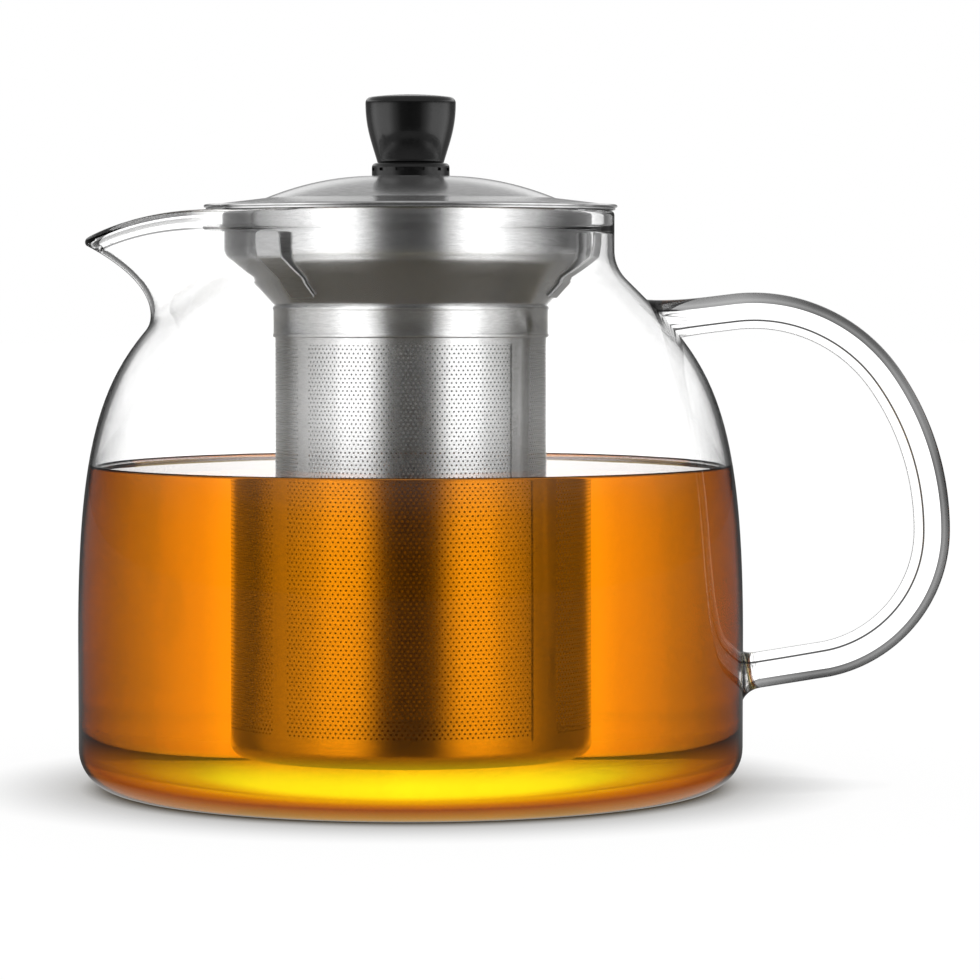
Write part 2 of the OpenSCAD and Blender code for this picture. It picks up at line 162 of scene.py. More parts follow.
EDGE_RING = (
    (-180, 0.05), (-158, 0.05), (-150, 0.14), (-128, 0.1), (-110, 0.05), (-60, 0.03), (0, 0.02),
    (60, 0.03), (110, 0.05), (128, 0.1), (150, 0.14), (158, 0.05), (180, 0.05))
# Light above, by the height of the direction: a lit strip of the backdrop for the lid's brim and
# the glass shoulder, and a softer ceiling. In front the strip is missing; the change from front
# to back is spread over this much of the direction to either side.
OVERHEAD = (
    (0.03, 0.03), (0.1, 0.1), (0.16, 0.3), (0.22, 0.9), (0.32, 0.9), (0.42, 0.45), (0.6, 0.4),
    (1.0, 0.35))
FRONT_OVERHEAD = ((0.05, 0.04), (0.15, 0.1), (0.25, 0.45), (0.45, 0.4), (1.0, 0.35))
FRONT_TO_BACK = 0.2
# What steel behind the glass sees above, coming in between these heights of the direction
CEILING, CEILING_FROM, CEILING_FULL = 0.13, 0.6, 0.9
PLAIN_LIGHT = 1.0
# The glass walls take a third of the light behind them, so that light is this much stronger
THROUGH_GLASS = 1.5

lights, given = effect("softboxes", {"Direction": "Vector"},
                       {"Inner": "Color", "Open": "Color", "Edge": "Color"})
sideways, backward, _ = node(lights, "SeparateXYZ", {0: given[0]}).outputs
turn = maths(lights, "ARCTAN2", sideways, maths(lights, "MULTIPLY", backward, -1.0))
share = maths(lights, "MULTIPLY_ADD", turn, 0.5 / pi, 0.5)
result = lights.nodes.new("NodeGroupOutput")
for i, ring in enumerate((INNER_RING, OPEN_RING, EDGE_RING)):
    # A ramp's colours stop at 1, so its light is kept halved
    halved = ramp(lights, share, [((angle + 180) / 360, value / 2) for angle, value in ring])
    feed(lights, result, {i: mixed(lights, 1.0, halved, halved, "ADD")})


def ring_light(tree, place):
    """A ray's path, and the rings' light for one from behind the glass and for any other."""
    path = node(tree, "LightPath").outputs
    inner, in_open, on_glass = node(tree, "Group", {0: place}, node_tree=lights).outputs
    return path, inner, mixed(tree, path["Is Singular Ray"], in_open, on_glass)


scene.world = bpy.data.worlds.new("room")
scene.world.use_nodes = True
tree = scene.world.node_tree
tree.nodes.clear()
place = node(tree, "TexCoord").outputs["Generated"]
path, inner, outer = ring_light(tree, place)
_, backward, upward = node(tree, "SeparateXYZ", {0: place}).outputs
inner = mixed(tree, mapped(tree, upward, CEILING_FROM, CEILING_FULL), inner, CEILING)
overhead, in_front = (ramp(tree, upward, stops) for stops in (OVERHEAD, FRONT_OVERHEAD))
behind = mapped(tree, backward, -FRONT_TO_BACK, FRONT_TO_BACK)
overhead = mixed(tree, behind, in_front, overhead)
outer = mixed(tree, mapped(tree, upward, OVERHEAD[0][0], OVERHEAD[1][0]), outer, overhead)
seen = mixed(tree, at_least(tree, path["Transmission Depth"], 1), outer, inner)
seen = mixed(tree, at_least(tree, path["Glossy Depth"], 1), THROUGH_GLASS, seen)
seen = mixed(tree, path["Is Diffuse Ray"], seen, PLAIN_LIGHT)
seen = mixed(tree, path["Is Camera Ray"], seen, WHITE)
background = node(tree, "Background", {"Color": seen, "Strength": 1.0})
node(tree, "OutputWorld", {"Surface": background.outputs[0]})

FLOOR_SIZE = 12.0
FLOOR_ALBEDO = 0.8
# How much of the lit floor glass and steel still show, so that the pot's shadow is seen in them
FLOOR_KEPT = 0.05
# The floor looks white but for the pot's contact shadow, which reaches this far
SHADOW_REACH, SHADOW_SHARE = 25 * MM, 0.9
# Glass and steel see the softboxes in the floor too, but for the shaded floor under the pot
UNDER_R, OPEN_R = 0.063, 0.068
UNDER_LIGHT = 0.45
# A little over white, so that the open floor and the room behind it meet without a line
FLOOR_LIGHT = 1.03

half = FLOOR_SIZE / 2
mesh = bpy.data.meshes.new("table_top")
mesh.from_pydata([(-half, -half, 0), (half, -half, 0), (half, half, 0), (-half, half, 0)],
                 [], [(0, 1, 2, 3)])
floor = bpy.data.objects.new("table_top", mesh)
scene.collection.objects.link(floor)
finish, tree, _ = material("white_table")
tree.nodes.clear()
place = node(tree, "TexCoord").outputs["Object"]
path, inner, outer = ring_light(tree, place)
level = mixed(tree, at_least(tree, path["Transmission Depth"], 1), outer, inner)
away = vectors(tree, "LENGTH", place)
level = mixed(tree, mapped(tree, away, UNDER_R, OPEN_R), UNDER_LIGHT, level)
level = mixed(tree, at_least(tree, path["Glossy Depth"], 1), THROUGH_GLASS, level)
contact = node(tree, "AmbientOcclusion", {"Distance": SHADOW_REACH}, samples=16)
level = mixed(tree, path["Is Camera Ray"], level, contact.outputs["Color"])
shown = node(tree, "Emission", {"Color": level, "Strength": FLOOR_LIGHT})
in_shine = maths(tree, "MAXIMUM", path["Is Transmission Ray"], path["Is Glossy Ray"])
amount = maths(tree, "MULTIPLY_ADD", in_shine, 1 - FLOOR_KEPT,
               maths(tree, "MULTIPLY", path["Is Camera Ray"], SHADOW_SHARE))
matt = node(tree, "BsdfDiffuse", {"Color": FLOOR_ALBEDO})
floor_look = node(tree, "MixShader", {0: amount, 1: matt.outputs[0], 2: shown.outputs[0]})
node(tree, "OutputMaterial", {"Surface": floor_look.outputs[0]})
mesh.materials.append(finish)

# ---- Glass body ----
# One blown piece of clear heat-proof glass: flat base with a round heel, upright side, hollow
# neck, a thicker bead around the rim, and a spout drawn out of the shoulder and neck.

top_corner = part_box("glass_vessel")[1]
BODY_R, RIM_Z = top_corner.y, top_corner.z
GLASS_WALL, GLASS_BASE = 1.3 * MM, 2.2 * MM
HEEL_R, SIDE_Z = 8 * MM, 30 * MM
NECK_R, NECK_H, NECK_CURVE_R = 40.6 * MM, 8 * MM, 8 * MM
NECK_TURN = radians(45)
SIDE_PULL, NECK_PULL = 0.7, 0.3
BEAD_H, BEAD_T, BEAD_STEP = 3.4 * MM, 2.0 * MM, 0.9 * MM
SPOUT_REACH, SPOUT_DROP, SPOUT_RISE = 65.7 * MM, 6 * MM, 20 * MM
SPOUT_ANGLE = radians(16)
EDGE_POWER = 2.2
# Shares of the rise that shape the spout's underside, and how gently it leaves the wall
DRAW_IN, DRAW_IN_Z, FLARE_Z, LIP_H, LIP_OUT = 0.23, 0.32, 0.66, 0.05, 0.03
SPOUT_BURY = 0.4 * MM
COLUMNS = 288
SIDE_STEPS, NECK_STEPS, SPOUT_STEPS = 120, 40, 46
# Share of an even spacing that the columns keep at the spout; they widen towards the handle
SPOUT_SPACING = 0.5
LIP_STEPS = 10


def cubic(a, b, c, d, steps):
    """Points of a cubic curve with two control points."""
    shares = [(i / steps, 1 - i / steps) for i in range(steps + 1)]
    return [a * s ** 3 + b * 3 * t * s * s + c * 3 * t * t * s + d * t ** 3 for t, s in shares]


def at(radius, height):
    """A point of an outline, or a step from one."""
    return Vector((radius, height))


def towards(angle):
    """A direction in the plane of an outline."""
    return at(cos(angle), sin(angle))


def arc(centre, radius, start, end, steps):
    """Points of an arc, between two angles."""
    turns = [start + (end - start) * i / steps for i in range(steps + 1)]
    return [Vector(centre) + radius * towards(a) for a in turns]


def smooth(share):
    share = min(max(share, 0), 1)
    return share * share * (3 - 2 * share)


def piece(name, points, faces, body, finish, crease=30):
    """A mesh of its own that rides on a body, smooth but for edges sharper than the crease."""
    mesh = bpy.data.meshes.new(name)
    mesh.from_pydata(points, [], faces)
    work = bmesh.new()
    work.from_mesh(mesh)
    bmesh.ops.recalc_face_normals(work, faces=work.faces)
    work.to_mesh(mesh)
    work.free()
    mesh.shade_smooth()
    mesh.set_sharp_from_angle(angle=radians(crease))
    mesh.materials.append(finish)
    made = bpy.data.objects.new(name, mesh)
    scene.collection.objects.link(made)
    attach(made, body)
    return made


neck_centre = at(NECK_R + NECK_CURVE_R, RIM_Z - NECK_H)
side_low = at(BODY_R, SIDE_Z)
side_high = neck_centre - NECK_CURVE_R * towards(NECK_TURN)
side_rise = side_high.y - side_low.y
side_curve = cubic(side_low, side_low + at(0, SIDE_PULL * side_rise),
                   side_high + NECK_PULL * side_rise * towards(-NECK_TURN), side_high, SIDE_STEPS)
neck_curve = arc(neck_centre, NECK_CURVE_R, pi + NECK_TURN, pi, NECK_STEPS)
outline = [at(BODY_R, HEEL_R)] + side_curve + neck_curve[1:] + [at(NECK_R, RIM_Z)]
outline_z = [p.y for p in outline]


def wall_r(z):
    """Outer radius of the body above its heel."""
    i = min(max(bisect.bisect_right(outline_z, z), 1), len(outline) - 1)
    a, b = outline[i - 1], outline[i]
    return a.x + (b.x - a.x) * min(max((z - a.y) / (b.y - a.y), 0), 1)


spout_tip_z = RIM_Z - SPOUT_DROP
spout_root_z = spout_tip_z - SPOUT_RISE
spout_root_r = wall_r(spout_root_z) - SPOUT_BURY
spout_curve = cubic(
    at(spout_root_r, spout_root_z),
    at(spout_root_r - DRAW_IN * SPOUT_RISE, spout_root_z + DRAW_IN_Z * SPOUT_RISE),
    at(spout_root_r, spout_root_z + FLARE_Z * SPOUT_RISE),
    at(SPOUT_REACH - LIP_OUT * SPOUT_RISE, spout_tip_z - LIP_H * SPOUT_RISE), SPOUT_STEPS)

# The wall's outer rows below the spout, and the glass thickness at each
FLAT_ROWS, HEEL_ROWS, SIDE_ROWS = 10, 14, 42
flat_r = BODY_R - HEEL_R
low_rows = [at(flat_r * k / FLAT_ROWS, 0) for k in range(1, FLAT_ROWS)]
low_walls = [GLASS_BASE] * len(low_rows)
low_rows += arc((flat_r, HEEL_R), HEEL_R, -pi / 2, 0, HEEL_ROWS)
low_walls += [GLASS_BASE + (GLASS_WALL - GLASS_BASE) * smooth(k / HEEL_ROWS)
              for k in range(HEEL_ROWS + 1)]
side_heights = [HEEL_R + (spout_root_z - HEEL_R) * k / SIDE_ROWS for k in range(1, SIDE_ROWS + 1)]
low_rows += [at(wall_r(z), z) for z in side_heights]
low_walls += [GLASS_WALL] * SIDE_ROWS


def wall_column(angle):
    """Outer points from the base to below the lip at an angle from the spout, and the edge."""
    drawn = exp(-(angle / SPOUT_ANGLE) ** 2)
    edge_z = RIM_Z - SPOUT_DROP * drawn ** EDGE_POWER
    column = list(low_rows)
    for p in spout_curve[1:] + [at(SPOUT_REACH, spout_tip_z)]:
        z = spout_root_z + (edge_z - spout_root_z) * (p.y - spout_root_z) / SPOUT_RISE
        bulge = max(p.x - wall_r(p.y), 0) * drawn
        bulge -= SPOUT_BURY * (1 - exp(-bulge / SPOUT_BURY))
        column.append(at(wall_r(z) + bulge, z))
    return column


def placed(point, angle):
    """A point of a column, in space; angle 0 is the spout's middle."""
    return Vector((-point.x * cos(angle), -point.x * sin(angle), point.y))


shares = [2 * k / COLUMNS - 1 for k in range(COLUMNS)]
angles = [pi * (SPOUT_SPACING * u + (1 - SPOUT_SPACING) * u ** 3) for u in shares]
columns = [[placed(p, a) for p in wall_column(a)] for a in angles]
outer_rows = len(columns[0]) - 1

# Each point's distance below the edge is kept with it, for the bead's lines
points, loops, below_edge = [], [], []
for k, column in enumerate(columns):
    after, before = columns[(k + 1) % COLUMNS], columns[k - 1]
    normals = []
    for j in range(outer_rows + 1):
        up = column[min(j + 1, outer_rows)] - column[max(j - 1, 0)]
        normals.append((after[j] - before[j]).cross(up).normalized())
    lengths = [0.0] * (outer_rows + 1)
    for j in range(outer_rows - 1, -1, -1):
        lengths[j] = lengths[j + 1] + (column[j + 1] - column[j]).length
    up = (column[-1] - column[-2]).normalized()
    radius = BEAD_T / 2
    centre = column[-1] - radius * (up + normals[-1])
    loop = column[:outer_rows]
    for i in range(LIP_STEPS + 1):
        a = pi * i / LIP_STEPS
        loop.append(centre + radius * (cos(a) * normals[-1] + sin(a) * up))
    for j in range(outer_rows - 1, -1, -1):
        wall = low_walls[j] if j < len(low_walls) else GLASS_WALL
        wall += (BEAD_T - wall) * smooth(1 - (lengths[j] - BEAD_H) / BEAD_STEP)
        loop.append(column[j] - normals[j] * wall)
    loops.append(list(range(len(points), len(points) + len(loop))))
    points += loop
    below_edge += lengths[:outer_rows] + [0.0] * (LIP_STEPS + 1) + lengths[outer_rows - 1::-1]
base_pole, floor_pole = len(points), len(points) + 1
points += [Vector((0, 0, 0)), Vector((0, 0, GLASS_BASE))]
below_edge += [RIM_Z, RIM_Z]
faces = []
for k in range(COLUMNS):
    a, b = loops[k], loops[(k + 1) % COLUMNS]
    faces += [(a[j], b[j], b[j + 1], a[j + 1]) for j in range(len(a) - 1)]
    faces += [(base_pole, b[0], a[0]), (floor_pole, a[-1], b[-1])]


def noise(tree, place, scale, detail, **inputs):
    """Cloudy noise, its scale in waves per metre."""
    inputs.update({"Vector": place, "Scale": scale, "Detail": detail})
    return node(tree, "TexNoise", inputs).outputs["Fac"]


def bump(tree, height, strength, distance):
    """The normal of a surface with a fine relief."""
    inputs = {"Strength": strength, "Distance": distance, "Height": height}
    return node(tree, "Bump", inputs).outputs[0]


def own_place(tree):
    return node(tree, "TexCoord").outputs["Object"]


def facing_away(tree):
    """0 where a surface is seen straight on, 1 at its outline."""
    return node(tree, "LayerWeight", {"Blend": 0.5}).outputs["Facing"]


# Slow waves of hand-worked glass, and faint dust and dried drops on it. The dust is so faint that
# its rays still count as mirrored by smooth glass.
DUST_ROUGHNESS = 0.003
ripple, given = effect("glass_ripple", {"Waves per metre": "Float"},
                       {"Height": "Float", "Dust": "Float"})
place = own_place(ripple)
feed(ripple, ripple.nodes.new("NodeGroupOutput"), {
    0: noise(ripple, place, scale=given[0], detail=1.0),
    1: mapped(ripple, noise(ripple, place, scale=900.0, detail=3.0), 0.62, 0.8)})


def multiplied(tree, first, second):
    return mixed(tree, 1.0, first, second, "MULTIPLY")


def squared(tree, colour):
    """Glass shows the root of its colour at each surface; this undoes the root."""
    return multiplied(tree, colour, colour)


def first_met(tree, shade):
    """A shade that only the first surface of glass on a ray's way shows."""
    crossed = node(tree, "LightPath").outputs["Transmission Depth"]
    return squared(tree, mixed(tree, at_least(tree, crossed, 1), shade, WHITE))


def clear_glass(name, waves, outline_shade_stops):
    """Clear glass that lets less through towards its outline: painted shade, darker where its
    surface turns away.
    """
    made, tree, shader = material(name)
    height, dust = node(tree, "Group", {0: waves}, node_tree=ripple).outputs
    feed(tree, shader, {
        "Base Color": first_met(tree, ramp(tree, facing_away(tree), outline_shade_stops)),
        "Roughness": mapped(tree, dust, 0.0, 1.0, to_high=DUST_ROUGHNESS),
        "Normal": bump(tree, height, strength=0.06, distance=0.2 * MM),
        "IOR": 1.47, "Transmission Weight": 1.0})
    return made, tree, shader


def darken(tree, shader, painted_shade):
    """Multiplies a clear glass by painted shade on the surface that is met first."""
    clear = shader.inputs["Base Color"].links[0].from_socket
    feed(tree, shader, {"Base Color": multiplied(tree, clear, first_met(tree, painted_shade))})


body_glass, tree, shader = clear_glass("blown_glass", waves=90.0, outline_shade_stops=[
    (0.0, WHITE), (0.8, WHITE), (0.84, 0.5), (0.87, 0.12), (1.0, 0.06)])
# Along the spout the bead's refraction is painted as grey lines of shade, by the share of twice
# its height below the edge. They begin and are full at these distances from the axis.
BEAD_SHADE_LINES = (
    (0.0, 0.2), (0.04, 0.25), (0.07, 1.0), (0.2, 1.0), (0.23, 0.4), (0.34, 0.5), (0.38, 1.0),
    (0.5, 1.0), (0.53, 0.2), (0.56, 0.3), (0.6, 1.0))
BEAD_LINES_FROM, BEAD_LINES_FULL = -37 * MM, -44 * MM
below = node(tree, "Attribute", attribute_name="below_edge").outputs["Fac"]
bead_shade = ramp(tree, mapped(tree, below, 0.0, 2 * BEAD_H), BEAD_SHADE_LINES)
along = node(tree, "SeparateXYZ", {0: own_place(tree)}).outputs["X"]
along = mapped(tree, along, BEAD_LINES_FROM, BEAD_LINES_FULL)
darken(tree, shader, mixed(tree, along, WHITE, bead_shade))
vessel = piece("blown_glass_body", points, faces, "pot_body", body_glass, crease=60)
vessel.data.attributes.new("below_edge", "FLOAT", "POINT").data.foreach_set("value", below_edge)
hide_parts("glass_vessel")

# ---- Handle ----
# A bent rod of solid glass. Both ends were melted onto the wall, so the rod flares out into a
# weld: long and smooth on the shoulder, short at the foot of the wall, where its rings are painted
# shade rather than shaped.

ROD_R = 3.6 * MM
HANDLE_REACH, HANDLE_Z = 104.2 * MM, 51 * MM
LOWER_BEND_R, BACK_R, UPPER_BEND_R = 26.2 * MM, 53 * MM, 32 * MM
BACK_ANGLE, UPPER_SLOPE, LOWER_SLOPE = (radians(a) for a in (35, 7, 9))
LOWER_WELD_R, LOWER_WELD_L = 7.2 * MM, 4.4 * MM
UPPER_WELD_R, UPPER_WELD_L = 6 * MM, 15 * MM
# How deep the welds reach into the wall
WELD_DEPTH = 0.5 * MM
RING_POINTS, END_STEPS, BEND_STEPS = 48, 40, 36


def bend(centre, radius, start, end):
    """Stations (centre, heading, radius) of the rod around a bend, without the first."""
    turns = [start + (end - start) * i / BEND_STEPS for i in range(1, BEND_STEPS + 1)]
    return [(centre + radius * towards(a), a + pi / 2, ROD_R) for a in turns]


def weld(point, heading, length, weld_r, weld_l):
    """Stations of a straight end that widens into its weld."""
    made = []
    for i in range(END_STEPS + 1):
        a = pi / 2 * i / END_STEPS
        made.append((point + (length - weld_l * (1 - sin(a))) * towards(heading), heading,
                     weld_r - (weld_r - ROD_R) * cos(a)))
    return made


upper_turn, lower_turn = pi / 2 + UPPER_SLOPE, LOWER_SLOPE - pi / 2
back_centre = at(HANDLE_REACH - BACK_R, HANDLE_Z)
upper_centre = back_centre + (BACK_R - UPPER_BEND_R) * towards(BACK_ANGLE)
lower_centre = at(HANDLE_REACH - LOWER_BEND_R, HANDLE_Z)
upper_end = upper_centre + UPPER_BEND_R * towards(upper_turn)
lower_end = lower_centre + LOWER_BEND_R * towards(lower_turn)
upper_length = (upper_end.x - NECK_R - NECK_CURVE_R / 2) / cos(UPPER_SLOPE)
lower_length = (lower_end.x - BODY_R + GLASS_WALL) / cos(LOWER_SLOPE)
lower_part = weld(lower_end, lower_turn - pi / 2, lower_length, LOWER_WELD_R, LOWER_WELD_L)
stations = [(point, heading + pi, r) for point, heading, r in reversed(lower_part)]
stations += bend(lower_centre, LOWER_BEND_R, lower_turn, 0)
stations += bend(back_centre, BACK_R, 0, BACK_ANGLE)
stations += bend(upper_centre, UPPER_BEND_R, BACK_ANGLE, upper_turn)
stations += weld(upper_end, upper_turn + pi / 2, upper_length, UPPER_WELD_R, UPPER_WELD_L)


def rod_line(k):
    """The line along the rod at one place of its rings, cut where it enters the wall."""
    a = 2 * pi * k / RING_POINTS
    line = []
    for centre, heading, r in stations:
        side = r * cos(a)
        line.append(Vector((centre.x - side * sin(heading), r * sin(a),
                            centre.y + side * cos(heading))))

    def cut(part):
        # The part runs from the open rod into the wall, and its points are spread up to there
        depths = [wall_r(p.z) - WELD_DEPTH - hypot(p.x, p.y) for p in part]
        last = next((i for i, d in enumerate(depths) if d > 0), len(part) - 1)
        if last == 0:
            return part
        share = depths[last - 1] / (depths[last - 1] - depths[last])
        end = last - 1 + min(max(share, 0), 1)
        made = []
        for i in range(len(part)):
            place = end * i / (len(part) - 1)
            low = min(int(place), len(part) - 2)
            made.append(part[low].lerp(part[low + 1], place - low))
        return made

    lower = cut(line[END_STEPS::-1])
    upper = cut(line[-END_STEPS - 1:])
    return lower[::-1] + line[END_STEPS + 1:-END_STEPS - 1] + upper


lines = [rod_line(k) for k in range(RING_POINTS)]
count = len(lines[0])
points = [p for line in lines for p in line]
faces = []
for k in range(RING_POINTS):
    a, b = k * count, (k + 1) % RING_POINTS * count
    faces += [(a + i, a + i + 1, b + i + 1, b + i) for i in range(count - 1)]
faces += [[k * count for k in range(RING_POINTS)],
          [k * count + count - 1 for k in reversed(range(RING_POINTS))]]
BLACK = 0.0
rod_glass, tree, shader = clear_glass("rod_glass", waves=60.0, outline_shade_stops=[
    (0.0, WHITE), (0.66, WHITE), (0.8, 0.45), (0.88, 0.12), (1.0, 0.05)])
# Painted shade stands in for the dark lines that the rod's refraction shows: a dark streak along
# its outer side and dark hairlines along its inner side, placed by how far a side looks out of the
# handle's loop: 0 inwards, 1 outwards
LOOP_X, LOOP_Z = 66 * MM, 58 * MM
STREAK_SHADE, HAIRLINE_SHADE = 0.03, 0.05
STREAK = ((0.7, BLACK), (0.712, 0.98), (0.74, 0.9), (0.8, 0.84), (0.86, 0.93), (0.92, 0.97),
          (1.0, WHITE))
PAINTED_HAIRLINES = (
    (0.2, BLACK), (0.22, WHITE), (0.25, WHITE), (0.275, BLACK), (0.3, BLACK), (0.32, 0.25),
    (0.36, BLACK), (0.42, BLACK), (0.44, 0.12), (0.47, BLACK))
# The streak grows from its least to its full strength between these distances from the axis. It is
# a little uneven, and clear where the rod is seen straight on.
STREAK_FROM, STREAK_FULL, STREAK_LEAST, STREAK_UNEVEN = 66 * MM, 80 * MM, 0.85, 0.9
CLEAR_BELOW, STREAK_ABOVE = 0.075, 0.095
# Where the rod was melted onto the wall its glass was drawn into folds, whose dark look is painted
# shade. They reach this far from the axis at the lower and the upper weld, and have so many waves
# per metre: rings at the lower weld, lines along the rod at the upper one.
FOLD_SHADE = ((0.4, WHITE), (0.43, BLACK), (0.5, BLACK), (0.52, WHITE), (0.55, BLACK))
FOLDS_LOW_TO, FOLDS_HIGH_TO, FOLDS_FADE = 71 * MM, 57 * MM, 4 * MM
FOLD_RINGS, FOLD_LINES = (900, 60, 90), (50, 300, 700)
place, normal = (node(tree, "TexCoord").outputs[name] for name in ("Object", "Normal"))
outwards = vectors(tree, "SUBTRACT", place, (LOOP_X, 0, LOOP_Z))
outwards = vectors(tree, "NORMALIZE", vectors(tree, "MULTIPLY", outwards, (1, 0, 1)))
side = maths(tree, "MULTIPLY_ADD", vectors(tree, "DOT_PRODUCT", outwards, normal), 0.5, 0.5)
along, _, high = node(tree, "SeparateXYZ", {0: place}).outputs
streak = multiplied(tree, ramp(tree, side, STREAK),
                    mapped(tree, along, STREAK_FROM, STREAK_FULL, STREAK_LEAST))
streak = multiplied(tree, streak, mapped(tree, noise(tree, place, scale=28.0, detail=1.0),
                                         0.3, 0.6, STREAK_UNEVEN))
streak = multiplied(tree, streak, mapped(tree, facing_away(tree), CLEAR_BELOW, STREAK_ABOVE))
high = mapped(tree, high, LOOP_Z - MM, LOOP_Z + MM)
stretched = vectors(tree, "MULTIPLY", place, mixed(tree, high, FOLD_RINGS, FOLD_LINES))
fold_shade = ramp(tree, noise(tree, stretched, scale=1.0, detail=1.0), FOLD_SHADE)
out = vectors(tree, "LENGTH", vectors(tree, "MULTIPLY", place, (1, 1, 0)))
reach = mapped(tree, high, 0.0, 1.0, FOLDS_LOW_TO, FOLDS_HIGH_TO)
near_wall = mapped(tree, maths(tree, "SUBTRACT", reach, out), 0.0, FOLDS_FADE)
streak = mixed(tree, 1.0, streak, multiplied(tree, fold_shade, near_wall), "LIGHTEN")
# Streak, folds and hairlines are painted shade that darkens the glass met first
painted_shade = mixed(tree, streak, WHITE, STREAK_SHADE)
darken(tree, shader, mixed(tree, ramp(tree, side, PAINTED_HAIRLINES), painted_shade, HAIRLINE_SHADE))
handle = piece("glass_rod_handle", points, faces, "pot_body", rod_glass, crease=50)
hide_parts("glass_handle")

# ---- Tea ----
# The pot is filled to a little over half with clear amber tea. It wets the glass, so its edge
# climbs the wall by a millimetre.

TEA_Z = 63.6 * MM
# How far the liquid's skin lies inside the glass, so that no air shows between them
TEA_SOAK = 0.6 * MM
# The edge's climb and how fast it falls off; the fall is followed for so many widths
MENISCUS_H, MENISCUS_W, MENISCUS_WIDTHS = 0.9 * MM, 1.3 * MM, 6
MENISCUS_STEPS, SURFACE_STEPS = 14, 8
# The side stops this far below the surface
SIDE_GAP = 1 * MM


def to_left(direction):
    """A direction in the plane of an outline, turned a quarter."""
    return at(-direction.y, direction.x)


def turned(name, outline, body, finish, segments=192, crease=30):
    """A solid turned about the axis from a closed outline of (radius, height) points."""
    points, rings = [], []
    for r, z in outline:
        on_axis = r < MM / 10000
        rings.append([len(points) + k for k in range(1 if on_axis else segments)])
        for k in range(len(rings[-1])):
            a = 2 * pi * k / segments
            points.append((r * cos(a), r * sin(a), z))
    faces = []
    for a, b in zip(rings, rings[1:] + rings[:1]):
        for k in range(segments):
            after = k + 1
            face = [a[k % len(a)], a[after % len(a)], b[after % len(b)], b[k % len(b)]]
            face = list(dict.fromkeys(face))
            if len(face) > 2:
                faces.append(face)
    return piece(name, points, faces, body, finish, crease)


tea_outline = [at(0, GLASS_BASE - TEA_SOAK)]
for j, (p, wall) in enumerate(zip(low_rows, low_walls)):
    along = (low_rows[min(j + 1, len(low_rows) - 1)] - low_rows[max(j - 1, 0)]).normalized()
    skin = p + (wall - TEA_SOAK) * to_left(along)
    if skin.y < TEA_Z - SIDE_GAP:
        tea_outline.append(skin)
tea_r = wall_r(TEA_Z) - GLASS_WALL + TEA_SOAK
for k in range(MENISCUS_STEPS + 1):
    run = MENISCUS_WIDTHS * MENISCUS_W * (k / MENISCUS_STEPS) ** 2
    tea_outline.append(at(tea_r - run, TEA_Z + MENISCUS_H * exp(-run / MENISCUS_W)))
level_r = tea_outline[-1].x
shares = [k / SURFACE_STEPS for k in range(1, SURFACE_STEPS + 1)]
tea_outline += [at(level_r * (1 - share), TEA_Z) for share in shares]

# Painted shade and light in what the tea lets through, by how far its surface turns away: clear
# amber in the middle, duller towards the sides and brown at the pot's outline. Low at the base a
# bright yellow is painted in as light from below, most of all in the middle.
TEA_SHADE_STOPS = (
    (0.0, (0.8, 0.3, 0.004)), (0.08, (0.75, 0.28, 0.004)), (0.1, (0.62, 0.22, 0.005)),
    (0.14, (0.46, 0.165, 0.006)), (0.16, (0.37, 0.135, 0.006)), (0.2, (0.27, 0.095, 0.004)),
    (0.245, (0.2, 0.055, 0.002)), (0.268, (0.15, 0.03, 0.001)), (0.4, (0.12, 0.02, 0.001)))
TEA_PAINTED_LIGHT, PAINTED_LIGHT_STOPS = (1.0, 0.98, 0.03), ((0.08, WHITE), (0.13, 0.4), (0.19, BLACK))
# The painted yellow light of the lowest tea begins and is full at these heights
LIGHT_FROM_Z, LIGHT_FULL_Z = 13 * MM, 6 * MM
# Painted light that the lowest tea gives off as a glow, standing for what the thick glass base and
# the white table throw up into it, also by how far the surface turns away, and the share of the
# tint that it leaves
GLOW_STOPS = (
    (0.0, (0.6, 0.55, 0.004)), (0.08, (0.58, 0.42, 0.003)), (0.12, (0.55, 0.25, 0.001)),
    (0.19, (0.4, 0.12, 0.0)), (0.26, (0.2, 0.04, 0.0)), (0.45, (0.4, 0.2, 0.0)),
    (1.0, (0.5, 0.3, 0.0)))
GLOW_LEAVES = 0.5
# Painted reflections: what the funnel's cone mirrors of the tea below it, and the thick glass base
# of the tea above it
TEA_IN_STEEL, TEA_IN_BASE = (0.12, 0.12, 0.16), (1.0, 0.72, 0.02)
# What is seen through the wall and down through the tea's surface
TEA_FROM_ABOVE = (0.5, 0.17, 0.005)

tea_finish, tree, shader = material("amber_tea")
facing, place = facing_away(tree), own_place(tree)
path = node(tree, "LightPath").outputs
crossed, in_shine = path["Transmission Depth"], at_least(tree, path["Glossy Depth"], 1)
# A ray that has passed two surfaces of glass is in the air of the pot, and past three in the tea
from_air = maths(tree, "COMPARE", crossed, 2.0, 0.5)
from_tea = at_least(tree, crossed, 3)
inside = node(tree, "NewGeometry").outputs["Backfacing"]
height = node(tree, "SeparateXYZ", {0: place}).outputs["Z"]
low = mapped(tree, height, LIGHT_FROM_Z, LIGHT_FULL_Z, interpolation_type="SMOOTHSTEP")
tint = mixed(tree, multiplied(tree, ramp(tree, facing, PAINTED_LIGHT_STOPS), low),
             ramp(tree, facing, TEA_SHADE_STOPS), TEA_PAINTED_LIGHT)
tint = mixed(tree, from_air, tint, TEA_FROM_ABOVE)
shine = mixed(tree, from_air, mixed(tree, from_tea, TEA_IN_BASE, WHITE), TEA_IN_STEEL)
tint = multiplied(tree, mixed(tree, in_shine, tint, shine), mixed(tree, low, WHITE, GLOW_LEAVES))
# The painted glow of the lowest tea, given off as light of its own
thrown = multiplied(tree, ramp(tree, facing, GLOW_STOPS), low)
